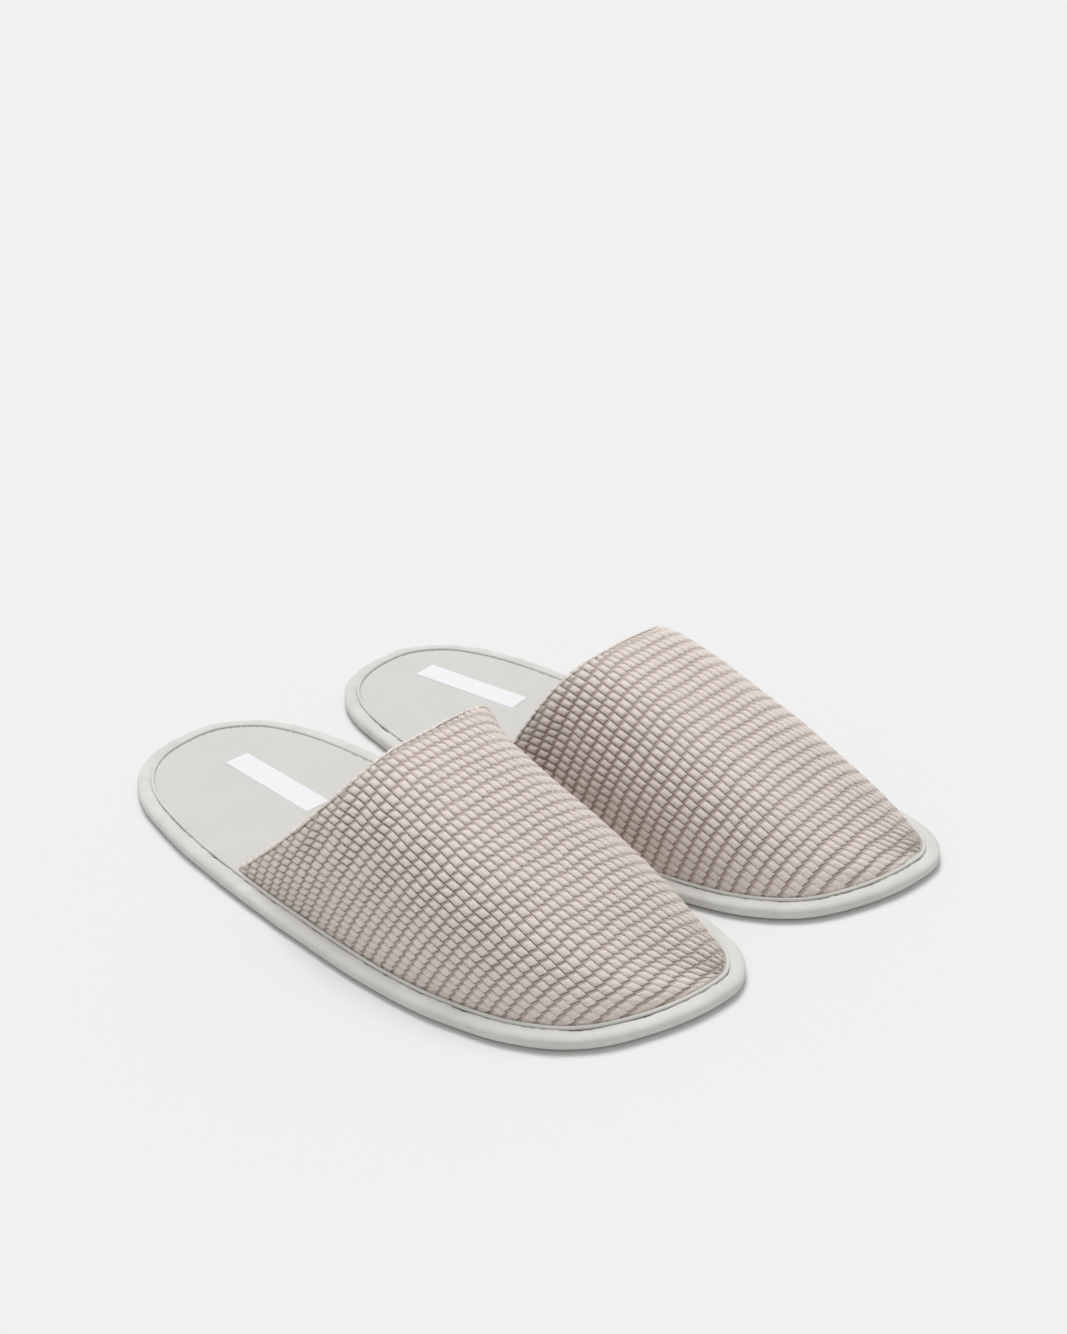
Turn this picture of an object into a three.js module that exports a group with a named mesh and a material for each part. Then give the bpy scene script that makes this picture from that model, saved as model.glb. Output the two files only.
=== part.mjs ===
// A pair of open-back spa slippers: knit uppers on thin covered foam soles. Millimetres, +Z up,
// toes towards -Y, the wearer's right slipper on the -X side.
import * as THREE from 'three';

// ---- plan of one sole, heel towards +Y, before it is placed ----
const OUTLINE = [
  [6.7, 139.9], [-10.5, 136.8], [-24, 128.2], [-35, 112], [-44.1, 80], [-49.7, 40], [-52.9, 0],
  [-54.3, -40], [-51.8, -70], [-43, -100], [-28.4, -120], [-4.1, -133.3], [20.8, -139.3],
  [35.5, -138.6], [47.5, -129], [54.5, -110], [56, -85], [54, -50], [53.1, -5], [53.8, 40],
  [52.8, 80], [49, 104], [40.2, 124.4], [23.5, 137.6],
];
const OUTLINE_STEPS = 64;

// ---- heights and insets of the sole stack ----
const GAP = 0.3;
const LAYER_GAP = 0.2;
const OUTSOLE_T = 1.2;
const MIDSOLE_T = 2.6;
const INSOLE_T = 0.7;
const SOCK_T = 0.5;
const OUTSOLE_INSET = 2.7;
const RAND_INNER = 6.6;
const PIPING_INSET = 6.4;
const PIPING_R = 0.75;
const PIPING_SIDES = 6;
const MIDSOLE_Z = OUTSOLE_T + LAYER_GAP;
const INSOLE_Z = MIDSOLE_Z + MIDSOLE_T + LAYER_GAP;
const SOCK_Z = INSOLE_Z + INSOLE_T + LAYER_GAP;
const SOCK_TOP = SOCK_Z + SOCK_T;
const PIPING_Z = SOCK_TOP + 0.15;
const SOCK_INSET = PIPING_INSET + PIPING_R + GAP;

// covered roll round the sole, as (inset from the outline, height)
const RAND_PROFILE = [
  [0, 2.8], [0.7, 1.1], [2.4, 0.45], [2.4, MIDSOLE_Z + 0.05], [RAND_INNER, MIDSOLE_Z + 0.05],
  [RAND_INNER, 4.6], [5.5, 4.65], [3.6, 5.6], [1.6, 5.4], [0.4, 4.3],
];

// ---- the flex line, where the heel end bends up ----
const FLEX_Y = 50;
const FLEX_GAP = 0.6;

// ---- the upper ----
const UPPER_Z = SOCK_TOP + GAP;
const SIDE_POWER = 4.8;
const ARCH_POWER = 1.5;
const TOE_POWER = 0.95;
const CROWN_Y = -2;
const SIDE_BULGE = 2.4;
const TOE_TRIM = 0.5;
const KNIT_T = 1.8;
const WADDING_T = 1.0;
const LINING_T = 0.5;
const SKIN_GAP = 0.7;
const HEM_WIDTH = 9;
const ACROSS = 18;
const ALONG = 12;

// ---- the woven label on the sock ----
const LABEL = { length: 53.5, width: 11.6, thickness: 0.4, corner: 0.4 };

// ---- what differs between the two slippers ----
const RIGHT = {
  side: 'right', x: -54, y: 5.5, turn: 0, crown: 69,
  footOut: 44, outPower: 6.5, footIn: 17, inPower: 4.2, topline: -16, label: [9.5, 79.9, 2.3],
};
const LEFT = {
  side: 'left', x: 54, y: -5.5, turn: 1.68, crown: 66,
  footOut: 26, outPower: 4.2, footIn: 24, inPower: 4.2, topline: -10, label: [16, 87.9, -5.3],
};

// ---- finishes ----
const COTTON = { color: '#dedcd5', roughness: 0.92 };
const SOCK_CLOTH = { color: '#dcdad4', roughness: 0.94 };
const KNIT = { color: '#c8bab0', roughness: 0.95 };
const LINING = { color: '#d9d2ca', roughness: 0.9 };
const FOAM = { color: '#efece4', roughness: 0.85 };
const EVA = { color: '#c9c8c3', roughness: 0.75 };
const RUBBER = { color: '#b9b8b3', roughness: 0.8 };
const WOVEN = { color: '#f5f2f6', roughness: 0.6 };

const group = new THREE.Group();

function add(name, geometry, finish) {
  const plain = new THREE.MeshStandardMaterial({ metalness: 0, ...finish });
  const mesh = new THREE.Mesh(geometry, plain);
  mesh.name = name;
  group.add(mesh);
}

// points evenly spaced round the outline, each with its outward normal
function walkOutline() {
  const knots = OUTLINE.map(([x, y]) => new THREE.Vector3(x, y, 0));
  const curve = new THREE.CatmullRomCurve3(knots, true, 'centripetal');
  curve.arcLengthDivisions = 1200;
  return Array.from({ length: OUTLINE_STEPS }, (_, i) => {
    const at = curve.getPointAt(i / OUTLINE_STEPS);
    const way = curve.getTangentAt(i / OUTLINE_STEPS);
    return { x: at.x, y: at.y, nx: way.y, ny: -way.x };
  });
}

const walk = walkOutline();
const insetPoint = (p, d) => [p.x - p.nx * d, p.y - p.ny * d];

// the outline's stations on one side of the flex line, in order, with a station on each cut
function stationsBeyond(sign) {
  const cut = FLEX_Y + (sign * FLEX_GAP) / 2;
  const inside = (p) => sign * (p.y - cut) > 0;
  const n = walk.length;
  const first = walk.findIndex((p, i) => inside(p) && !inside(walk[(i + n - 1) % n]));
  const crossing = (a, b) => {
    const t = (cut - a.y) / (b.y - a.y);
    const mix = (k) => a[k] + (b[k] - a[k]) * t;
    return { x: mix('x'), y: cut, nx: mix('nx'), ny: mix('ny'), cut: true };
  };
  const run = [crossing(walk[(first + n - 1) % n], walk[first])];
  let i = first;
  for (; inside(walk[i % n]); i += 1) run.push(walk[i % n]);
  run.push(crossing(walk[(i - 1) % n], walk[i % n]));
  return run;
}

function stationPoint(p, d) {
  const [x, y] = insetPoint(p, d);
  return [x, p.cut ? p.y : y];
}

// a flat sheet of the sole: one side of the flex line, inset from the outline
function plate(stations, inset, z, thickness) {
  const shape = new THREE.Shape(stations.map((p) => new THREE.Vector2(...stationPoint(p, inset))));
  const solid = new THREE.ExtrudeGeometry(shape, { depth: thickness, bevelEnabled: false });
  return solid.translate(0, 0, z);
}

function solidFrom(points, faces) {
  const geometry = new THREE.BufferGeometry();
  geometry.setAttribute('position', new THREE.Float32BufferAttribute(points.flat(), 3));
  geometry.setIndex(faces.flat());
  let volume = 0;
  for (const [a, b, c] of faces) {
    const [pa, pb, pc] = [a, b, c].map((k) => new THREE.Vector3(...points[k]));
    volume += pa.dot(pb.cross(pc));
  }
  if (volume < 0) geometry.setIndex(faces.map(([a, b, c]) => [a, c, b]).flat());
  const open = geometry.toNonIndexed();
  open.computeVertexNormals();
  return open;
}

// a strip with one section all along the stations, closed at both cuts
function strip(stations, profile) {
  const k = profile.length;
  const points = stations.flatMap((p) => profile.map(([d, z]) => [...stationPoint(p, d), z]));
  const faces = [];
  for (let i = 0; i + 1 < stations.length; i += 1) {
    for (let j = 0; j < k; j += 1) {
      const [a, b] = [i * k + j, i * k + ((j + 1) % k)];
      faces.push([a, b, b + k], [a, b + k, a + k]);
    }
  }
  const lid = THREE.ShapeUtils.triangulateShape(profile.map((q) => new THREE.Vector2(...q)), []);
  const last = (stations.length - 1) * k;
  for (const [a, b, c] of lid) {
    faces.push([c, b, a], [last + a, last + b, last + c]);
  }
  return solidFrom(points, faces);
}

function pipingProfile() {
  return Array.from({ length: PIPING_SIDES }, (_, i) => {
    const a = (2 * Math.PI * i) / PIPING_SIDES;
    return [PIPING_INSET + PIPING_R * Math.cos(a), PIPING_Z + PIPING_R * Math.sin(a)];
  });
}

// left and right ends of the inset outline at one height of the plan
function spanAt(loop, y) {
  const xs = [];
  loop.forEach(([ax, ay], i) => {
    const [bx, by] = loop[(i + 1) % loop.length];
    if ((ay - y) * (by - y) <= 0 && ay !== by) xs.push(ax + ((y - ay) / (by - ay)) * (bx - ax));
  });
  return [Math.min(...xs), Math.max(...xs)];
}

// one skin of the upper: a boxy arch that shrinks to nothing at the toe
function skin(slipper, depth, setBack) {
  const loop = walk.map((p) => insetPoint(p, SOCK_INSET + depth));
  const toe = Math.min(...loop.map(([, y]) => y));
  const crown = slipper.crown - depth;
  const rows = [];
  for (let j = 0; j <= ALONG; j += 1) {
    const t = 1 - (1 - j / ALONG) ** 2;
    for (let i = 0; i <= ACROSS; i += 1) {
      const angle = Math.PI * (1 - i / ACROSS);
      const s = Math.sign(Math.cos(angle)) * Math.abs(Math.cos(angle)) ** (2 / SIDE_POWER);
      const [foot, power] = s < 0 ? [slipper.footOut, slipper.outPower] : [slipper.footIn, slipper.inPower];
      const mouth = slipper.topline + (foot - slipper.topline) * Math.abs(s) ** power;
      const start = mouth - setBack;
      const y = start + (toe + TOE_TRIM - start) * t;
      const [left, right] = spanAt(loop, y);
      const reach = (CROWN_Y - y) / (CROWN_Y - toe);
      const fall = Math.sign(reach) * Math.abs(reach) ** ARCH_POWER;
      const height = crown * (1 - Math.max(fall, 0)) ** TOE_POWER;
      const arch = i === 0 || i === ACROSS ? 0 : 1 - Math.abs(s) ** SIDE_POWER;
      const swell = Math.sign(s) * SIDE_BULGE * 4 * arch * (1 - arch) * Math.min(height / 40, 1);
      const x = (left + right) / 2 + ((right - left) / 2) * s + swell;
      rows.push([x, y, UPPER_Z + height * arch]);
    }
  }
  return rows;
}

// the solid between two skins, closed along the mouth, the sole seam and the toe
function layer(slipper, outerDepth, innerDepth, setBack, length) {
  const outer = skin(slipper, outerDepth, setBack);
  const inner = skin(slipper, innerDepth, setBack);
  const w = ACROSS + 1;
  const rows = length ?? ALONG;
  const points = [...outer, ...inner];
  const shift = outer.length;
  const faces = [];
  const quad = (a, b, c, d) => faces.push([a, b, c], [a, c, d]);
  for (let j = 0; j < rows; j += 1) {
    for (let i = 0; i < ACROSS; i += 1) {
      const a = j * w + i;
      quad(a, a + 1, a + 1 + w, a + w);
      quad(shift + a, shift + a + w, shift + a + w + 1, shift + a + 1);
    }
    for (const i of [0, ACROSS]) {
      const a = j * w + i;
      const ring = [a, a + w, shift + a + w, shift + a];
      quad(...(i ? ring.reverse() : ring));
    }
  }
  for (let i = 0; i < ACROSS; i += 1) {
    quad(i, shift + i, shift + i + 1, i + 1);
  }
  const last = rows * w;
  for (let i = 1; i < ACROSS; i += 1) {
    faces.push([last, last + i, last + i + 1]);
    faces.push([shift + last, shift + last + i + 1, shift + last + i]);
  }
  quad(last, last + ACROSS, shift + last + ACROSS, shift + last);
  return solidFrom(points, faces);
}

// the turned-in edge of the knit: a band of even width just inside the mouth
function hem(slipper, outerDepth, innerDepth) {
  const w = ACROSS + 1;
  const cut = (depth) => {
    const front = skin(slipper, depth, 0).slice(0, w);
    const back = skin(slipper, depth, HEM_WIDTH).slice(0, w);
    return [...front, ...back];
  };
  const points = [...cut(outerDepth), ...cut(innerDepth)];
  const faces = [];
  const quad = (a, b, c, d) => faces.push([a, b, c], [a, c, d]);
  for (let i = 0; i < ACROSS; i += 1) {
    const ring = [i, i + w, i + 3 * w, i + 2 * w];
    ring.forEach((a, k) => {
      const b = ring[(k + 1) % 4];
      quad(a, a + 1, b + 1, b);
    });
  }
  quad(0, w, 3 * w, 2 * w);
  quad(ACROSS, 2 * w + ACROSS, 3 * w + ACROSS, w + ACROSS);
  return solidFrom(points, faces);
}

function labelTab() {
  const { length, width, thickness, corner } = LABEL;
  const [hw, hl] = [width / 2, length / 2];
  const shape = new THREE.Shape();
  shape.moveTo(-hw + corner, -hl);
  shape.lineTo(hw - corner, -hl).lineTo(hw, -hl + corner).lineTo(hw, hl - corner);
  shape.lineTo(hw - corner, hl).lineTo(-hw + corner, hl).lineTo(-hw, hl - corner);
  shape.lineTo(-hw, -hl + corner).lineTo(-hw + corner, -hl);
  return new THREE.ExtrudeGeometry(shape, { depth: thickness, bevelEnabled: false });
}

function buildSlipper(slipper) {
  const { side } = slipper;
  const halves = { front: stationsBeyond(-1), heel: stationsBeyond(1) };
  const put = (name, geometry, finish) => {
    geometry.rotateZ(THREE.MathUtils.degToRad(slipper.turn)).translate(slipper.x, slipper.y, 0);
    add(`${side}_${name}`, geometry, finish);
  };
  for (const [half, stations] of Object.entries(halves)) {
    put(`outsole_${half}`, plate(stations, OUTSOLE_INSET, 0, OUTSOLE_T), RUBBER);
    put(`midsole_${half}`, plate(stations, RAND_INNER + GAP, MIDSOLE_Z, MIDSOLE_T), EVA);
    put(`insole_${half}`, plate(stations, RAND_INNER + GAP, INSOLE_Z, INSOLE_T), FOAM);
    put(`sock_${half}`, plate(stations, SOCK_INSET, SOCK_Z, SOCK_T), SOCK_CLOTH);
    put(`rand_${half}`, strip(stations, RAND_PROFILE), COTTON);
    put(`piping_${half}`, strip(stations, pipingProfile()), COTTON);
  }
  const wadding = KNIT_T + SKIN_GAP;
  const lining = wadding + WADDING_T + SKIN_GAP;
  const inside = lining + LINING_T;
  put('upper_knit', layer(slipper, 0, KNIT_T, 0), KNIT);
  put('upper_wadding', layer(slipper, wadding, wadding + WADDING_T, HEM_WIDTH + GAP), FOAM);
  put('upper_lining', layer(slipper, lining, inside, HEM_WIDTH + GAP), LINING);
  put('hem', hem(slipper, wadding, inside), KNIT);
  const [lx, ly, tilt] = slipper.label;
  const tab = labelTab().rotateZ(THREE.MathUtils.degToRad(-tilt));
  put('label', tab.translate(lx, ly, SOCK_TOP + LAYER_GAP / 2), WOVEN);
}

// moves the finished pair so that its plan is centred on the origin
function centre() {
  const middle = new THREE.Box3().setFromObject(group).getCenter(new THREE.Vector3());
  for (const mesh of group.children) mesh.geometry.translate(-middle.x, -middle.y, 0);
}

buildSlipper(RIGHT);
buildSlipper(LEFT);
centre();

export default group;
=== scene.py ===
import math

import bpy
import numpy as np
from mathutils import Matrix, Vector


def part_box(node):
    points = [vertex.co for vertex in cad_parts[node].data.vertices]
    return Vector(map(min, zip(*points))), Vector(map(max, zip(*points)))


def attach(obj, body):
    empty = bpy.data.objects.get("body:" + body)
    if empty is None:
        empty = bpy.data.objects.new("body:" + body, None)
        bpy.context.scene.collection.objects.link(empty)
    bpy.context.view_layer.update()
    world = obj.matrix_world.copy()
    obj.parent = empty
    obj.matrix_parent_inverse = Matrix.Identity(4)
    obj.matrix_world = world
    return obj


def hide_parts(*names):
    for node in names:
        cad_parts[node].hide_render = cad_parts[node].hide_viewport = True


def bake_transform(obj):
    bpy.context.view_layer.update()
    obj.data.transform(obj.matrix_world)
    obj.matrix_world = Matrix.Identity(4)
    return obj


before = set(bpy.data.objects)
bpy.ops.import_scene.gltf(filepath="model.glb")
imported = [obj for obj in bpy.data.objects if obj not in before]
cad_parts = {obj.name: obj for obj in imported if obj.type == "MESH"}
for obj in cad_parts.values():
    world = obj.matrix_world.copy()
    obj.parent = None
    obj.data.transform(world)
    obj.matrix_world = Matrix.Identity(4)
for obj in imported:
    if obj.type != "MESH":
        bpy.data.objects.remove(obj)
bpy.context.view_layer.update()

MM = 0.001

# Outline of the sole, seen from above in a slipper's own frame: toe towards -y, millimetres.
OUTLINE = [
    (6.7, 139.9), (-10.5, 136.8), (-24, 128.2), (-35, 112), (-44.1, 80), (-49.7, 40),
    (-52.9, 0), (-54.3, -40), (-51.8, -70), (-43, -100), (-28.4, -120), (-4.1, -133.3),
    (20.8, -139.3), (35.5, -138.6), (47.5, -129), (54.5, -110), (56, -85), (54, -50),
    (53.1, -5), (53.8, 40), (52.8, 80), (49, 104), (40.2, 124.4), (23.5, 137.6),
]
OUTLINE_STEPS = 40
SPINE_REACH = 86.0  # the sole's middle line ends this far from the origin, both ways

# Sole stack, millimetres; insets are from the outline.
ROLL_LOW, ROLL_TOP = 0.4, 5.65
ROLL_WIDTH = 6.9
ROLL_POWER = 2.5  # above 2, the section is squarer than an ellipse
ROLL_PUCKER, ROLL_RIPPLE, ROLL_SLACK = 0.07, 0.1, 0.12
ROLL_POINTS, ROLL_SECTION = 1200, 30
PIPING_INSET, PIPING_Z, PIPING_R = 6.45, 5.7, 0.72
PIPING_WANDER, PIPING_UNEVEN = 0.03, 0.02
PIPING_POINTS, PIPING_SECTION = 1200, 12
SOCK_INSET, SOCK_LOW, SOCK_TOP = 7.0, 5.1, 5.55
SOCK_PUFF, SOCK_TUCK, SOCK_WAVE = 0.35, 0.25, 0.06
SOCK_POINTS = 420
CORE_INSET, CORE_LOW, CORE_TOP = 6.9, 1.4, 4.9
CORE_POINTS = 360
OUTSOLE_INSET, OUTSOLE_TOP = 2.7, 1.2
OUTSOLE_POINTS = 420
GROOVE_OUT, GROOVE_IN, GROOVE_DEPTH = 4.0, 5.2, 0.35

# Upper, millimetres: the same shell as the solid model's.
UPPER_Z = 5.9
UPPER_INSET = 7.45
SIDE_POWER, ARCH_POWER, TOE_POWER = 4.8, 1.5, 0.95
CROWN_Y = -2.0
SIDE_BULGE = 2.4
TOE_TRIM = 0.5
SEAM_Z = UPPER_Z - 0.9  # sewn edges end at this height, under the sock's face
FLARE_REACH, DROOP_REACH = 13.0, 6.5  # how far in from the mouth they fade out
KNIT_T, SKIN_GAP, WADDING_T, LINING_T = 1.8, 0.7, 1.0, 0.5
WADDING_DEPTH = KNIT_T + SKIN_GAP
LINING_DEPTH = WADDING_DEPTH + WADDING_T + SKIN_GAP
INNER_DEPTH = LINING_DEPTH + LINING_T
INNER_ACROSS, INNER_ALONG = 72, 48
HEM_WIDTH = 9.0
HEM_RADIUS = 2.25
HEM_ROOM = HEM_RADIUS + 0.2
HEM_STEPS = 12

# Waffle knit: one raised pillow per cell, columns along the length and rows across. The cuts are
# where the mesh has lines within a cell, as shares of it.
U_CUTS = (0.0, 0.08, 0.16, 0.5, 0.84, 0.92)
V_CUTS = (0.0, 0.05, 0.12, 0.3, 0.58, 0.76, 0.81, 0.85, 0.9)
PILLOW_HEIGHT = 1.1
PILLOW_DOME = 0.1
PILLOW_END, BAND_START = 0.78, 0.86
BAND_HEIGHT, UNDERCUT = 0.62, 0.42
GUTTER = 0.7  # from here out to the cell's side, the relief falls into the gap between columns
KNIT_SETTLE = 1.0  # how far the gaps lie below the shell
KNIT_UNEVEN, KNIT_LUMP = 0.07, 0.28
CELL_TABLE = (97, 89)  # the cells' random values repeat after so many columns and rows
DRIFT_ACROSS, DRIFT_ALONG = 0.004, 0.35
SEAM_RISE, SEAM_RELIEF = 2.2, 0.35  # at the seam, that share of the relief is left
HEM_RELIEF = 0.8
SWING_FROM, SWING_TO = 0.45, 0.88
# the knit is paler towards the mouth's edge; where the crown faces up its cells are paler and their
# painted shade fainter, as painted light
HEM_PALE, PALE_REACH, CROWN_PAINTED_LIGHT = 0.75, 4.5, 0.4

# What differs between the two slippers, millimetres and degrees. The pairs foot, mouth_power and
# swing are for the -x and +x side; label is its centre and tilt; cell is its width and length.
SLIPPERS = {
    "right": dict(
        turn=0.0, crown=69.0, foot=(44.0, 17.0), mouth_power=(6.5, 4.2), topline=-16.0,
        flare=11.0, droop=0.0, label=(9.5, 79.9, -2.3), seed=11,
        cell=(3.45, 4.75), swing=(26, 14), slant=0.4,
    ),
    "left": dict(
        turn=1.68, crown=66.0, foot=(26.0, 24.0), mouth_power=(4.2, 4.2), topline=-10.0,
        flare=-1.5, droop=2.6, label=(16.0, 87.9, 5.3), seed=29,
        cell=(3.38, 5.5), swing=(15, 14), slant=0.38,
    ),
}
LABEL_SIZE = (11.6, 53.5, 0.4)
LABEL_GRID = (24, 90)
LABEL_FRAY = 0.16
FLEX_FROM, FLEX_TO = 45.5, 76.0

# Tones, sRGB 0 to 255; a cloth's two tones are the ends of its clouding.
COVER_TONES = ((209, 208, 203), (217, 216, 212))
SOCK_TONES = ((204, 203, 199), (207, 206, 202))
LINING_TONES = ((222, 216, 208), (230, 225, 218))
LABEL_TONES = ((242, 240, 244), (247, 245, 248))
SOFT_FOAM_TONE = (232, 229, 222)
EVA_TONE = (220, 218, 212)
RUBBER_TONE = (214, 212, 206)
YARN_TONES = ((220, 206, 197), (255, 247, 240))
PATCH_TONE, CELL_TONE, PALE_TONE = (242, 229, 220), (246, 234, 226), (243, 232, 224)
# The gap tone is painted shade in the gaps between columns and a painted shadow under each pillow's
# toeward end; the band tone is painted shade on the recessed band between pillows.
BAND_SHADE_TONE, GAP_SHADE_TONE = (204, 188, 178), (114, 97, 87)

# Floor, light and camera; angles in degrees.
FLOOR_REACH = 6.0  # metres
FLOOR_GREY = (0.765, 0.765, 0.765)
WORLD_STRENGTH = 0.57
SUN_STRENGTH, SUN_ANGLE = 2.0, 30
SUN_RIGHT, SUN_AWAY = -0.12, 0.44  # the sun's lean from straight up, as the camera sees it
CAMERA_AZIMUTH, CAMERA_ELEVATION = -47.54, 28.39
CAMERA_PLACE = Vector((-464.8, -440.3, 417.6)) * MM
LENS, SENSOR = 51.36, 36.0


# ---------------------------------------------------------------- curves and frames

def catmull(points, steps):
    """Closed centripetal Catmull-Rom curve through the points."""
    p = np.array(points, float)
    out = []
    count = len(p)
    for i in range(count):
        a, b, c, d = p[i - 1], p[i], p[(i + 1) % count], p[(i + 2) % count]
        pairs = ((a, b), (b, c), (c, d))
        k0, k1, k2 = (max(float(np.sum((n - m) ** 2)) ** 0.25, 1e-9) for m, n in pairs)
        t1 = ((b - a) / k0 - (c - a) / (k0 + k1) + (c - b) / k1) * k1
        t2 = ((c - b) / k1 - (d - b) / (k1 + k2) + (d - c) / k2) * k1
        square, cube = 3 * (c - b) - 2 * t1 - t2, 2 * (b - c) + t1 + t2
        for t in np.arange(steps) / steps:
            out.append(b + t1 * t + square * t * t + cube * t ** 3)
    return np.array(out)


def way_round(loop):
    """The closed loop with its first point again at the end, and the length up to each point."""
    closed = np.vstack([loop, loop[:1]])
    steps = np.linalg.norm(np.diff(closed, axis=0), axis=1)
    return closed, np.concatenate([[0], np.cumsum(steps)])


def resample(loop, count):
    """The closed loop as count points, evenly spaced."""
    closed, arc = way_round(loop)
    at = np.linspace(0, arc[-1], count, endpoint=False)
    return np.column_stack([np.interp(at, arc, closed[:, 0]), np.interp(at, arc, closed[:, 1])])


def outward(loop):
    """Outward unit normals of a closed anticlockwise loop."""
    way = np.roll(loop, -1, 0) - np.roll(loop, 1, 0)
    way /= np.linalg.norm(way, axis=1)[:, None]
    return np.column_stack([way[:, 1], -way[:, 0]])


FINE = catmull(OUTLINE, OUTLINE_STEPS)
FINE_OUT = outward(FINE)


def inset(distance, count=None):
    """The outline moved in by a distance, as count evenly spaced points if count is given."""
    loop = FINE - FINE_OUT * distance
    return loop if count is None else resample(loop, count)


def ring(distance, count):
    """An inset loop, its outward normals, each point's share of the way round, and its length."""
    loop = inset(distance, count)
    length = float(np.linalg.norm(np.roll(loop, -1, 0) - loop, axis=1).sum())
    return loop, outward(loop), np.arange(count) / count, length


def spans(loop, y):
    """Left and right x of a closed loop at each y."""
    top, low = int(np.argmax(loop[:, 1])), int(np.argmin(loop[:, 1]))
    left = np.roll(np.arange(len(loop)), -top)
    cut = int(np.where(left == low)[0][0])
    down, up = loop[left[: cut + 1]], loop[np.append(left[cut:], left[0])]
    return np.interp(y, down[::-1, 1], down[::-1, 0]), np.interp(y, up[:, 1], up[:, 0])


def place(side):
    """Origin and turn of a slipper's own frame, from the solid model's box of its roll."""
    low_f, high_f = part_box(f"{side}_rand_front")
    low_h, high_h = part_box(f"{side}_rand_heel")
    low = np.minimum(np.array(low_f), np.array(low_h))[:2] / MM
    high = np.maximum(np.array(high_f), np.array(high_h))[:2] / MM
    turn = math.radians(SLIPPERS[side]["turn"])
    c, s = math.cos(turn), math.sin(turn)
    turned = FINE @ np.array([[c, s], [-s, c]])
    origin = (low + high) / 2 - (turned.min(0) + turned.max(0)) / 2
    return origin, turn


PLACES = {side: place(side) for side in SLIPPERS}


def to_frame(side, points):
    """Points of a slipper's own frame in millimetres, in the shared frame in metres."""
    origin, turn = PLACES[side]
    p = np.asarray(points, float)
    c, s = math.cos(turn), math.sin(turn)
    x = p[:, 0] * c - p[:, 1] * s + origin[0]
    y = p[:, 0] * s + p[:, 1] * c + origin[1]
    return np.column_stack([x, y, p[:, 2]]) * MM


def ease(value, low, high):
    """0 below low, 1 above high, smooth between."""
    share = np.clip((value - low) / (high - low), 0, 1)
    return share * share * (3 - 2 * share)


def waves(seed, count, longest, shortest):
    """A smooth random function of two coordinates in millimetres, about -1 to 1."""
    rng = np.random.default_rng(seed)
    length = np.exp(rng.uniform(math.log(shortest), math.log(longest), count))
    angle, phase = rng.uniform(0, 2 * math.pi, (2, count))
    kx, ky = 2 * math.pi / length * np.cos(angle), 2 * math.pi / length * np.sin(angle)

    def at(u, v):
        total = np.zeros(np.broadcast(u, v).shape)
        for i in range(count):
            total += np.sin(kx[i] * u + ky[i] * v + phase[i])
        return total / math.sqrt(count * 1.4)

    return at


def ring_noise(seed, loop_length, longest, shortest, count):
    """A smooth random function of the way round a closed loop, about -1 to 1."""
    rng = np.random.default_rng(seed)
    fewest, most = max(1, int(loop_length / longest)), int(loop_length / shortest)
    turns = rng.integers(fewest, most, count)
    phase = rng.uniform(0, 2 * math.pi, count)

    def at(share):
        total = np.zeros(np.shape(share))
        for k, p in zip(turns, phase):
            total += np.sin(2 * math.pi * k * share + p)
        return total / math.sqrt(count * 0.8)

    return at


# ---------------------------------------------------------------- meshes

def mesh(name, side, points, faces, material, attributes=None):
    """A smooth-shaded mesh object. Faces are rows of three or four indices; repeats are dropped."""
    clean = []
    for face in faces:
        kept = [int(v) for i, v in enumerate(face) if v != face[i - 1]]
        if len(set(kept)) == len(kept) and len(kept) > 2:
            clean.append(kept)
    data = bpy.data.meshes.new(name)
    data.from_pydata([tuple(p) for p in to_frame(side, points)], [], clean)
    for key, values in (attributes or {}).items():
        values = np.asarray(values, np.float32)
        if values.ndim == 1:
            layer = data.attributes.new(key, "FLOAT", "POINT")
            layer.data.foreach_set("value", values)
        else:
            layer = data.attributes.new(key, "FLOAT_VECTOR", "POINT")
            layer.data.foreach_set("vector", values.ravel())
    data.polygons.foreach_set("use_smooth", [True] * len(data.polygons))
    data.materials.append(material)
    data.update()
    obj = bpy.data.objects.new(name, data)
    bpy.context.scene.collection.objects.link(obj)
    return obj


def grid_faces(rows, columns, close_rows=False, close_columns=False, start=0):
    """Quads of a grid of points stored row by row."""
    r = np.arange(rows if close_rows else rows - 1)
    c = np.arange(columns if close_columns else columns - 1)
    rr, cc = np.meshgrid(r, c, indexing="ij")
    next_row, next_column = (rr + 1) % rows, (cc + 1) % columns
    corners = [
        rr * columns + cc,
        rr * columns + next_column,
        next_row * columns + next_column,
        next_row * columns + cc,
    ]
    return np.stack(corners, -1).reshape(-1, 4) + start


def two_skins(rows, columns):
    """Faces of a closed shell whose points are two grids, one after the other."""
    size = rows * columns
    faces = [list(f) for f in grid_faces(rows, columns)]
    faces += [list(f[::-1]) for f in grid_faces(rows, columns, start=size)]
    rim = list(range(columns))
    rim += [r * columns + columns - 1 for r in range(1, rows)]
    rim += [(rows - 1) * columns + c for c in range(columns - 2, -1, -1)]
    rim += [r * columns for r in range(rows - 2, 0, -1)]
    for a, b in zip(rim, rim[1:] + rim[:1]):
        faces.append([b, a, a + size, b + size])
    return faces


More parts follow.
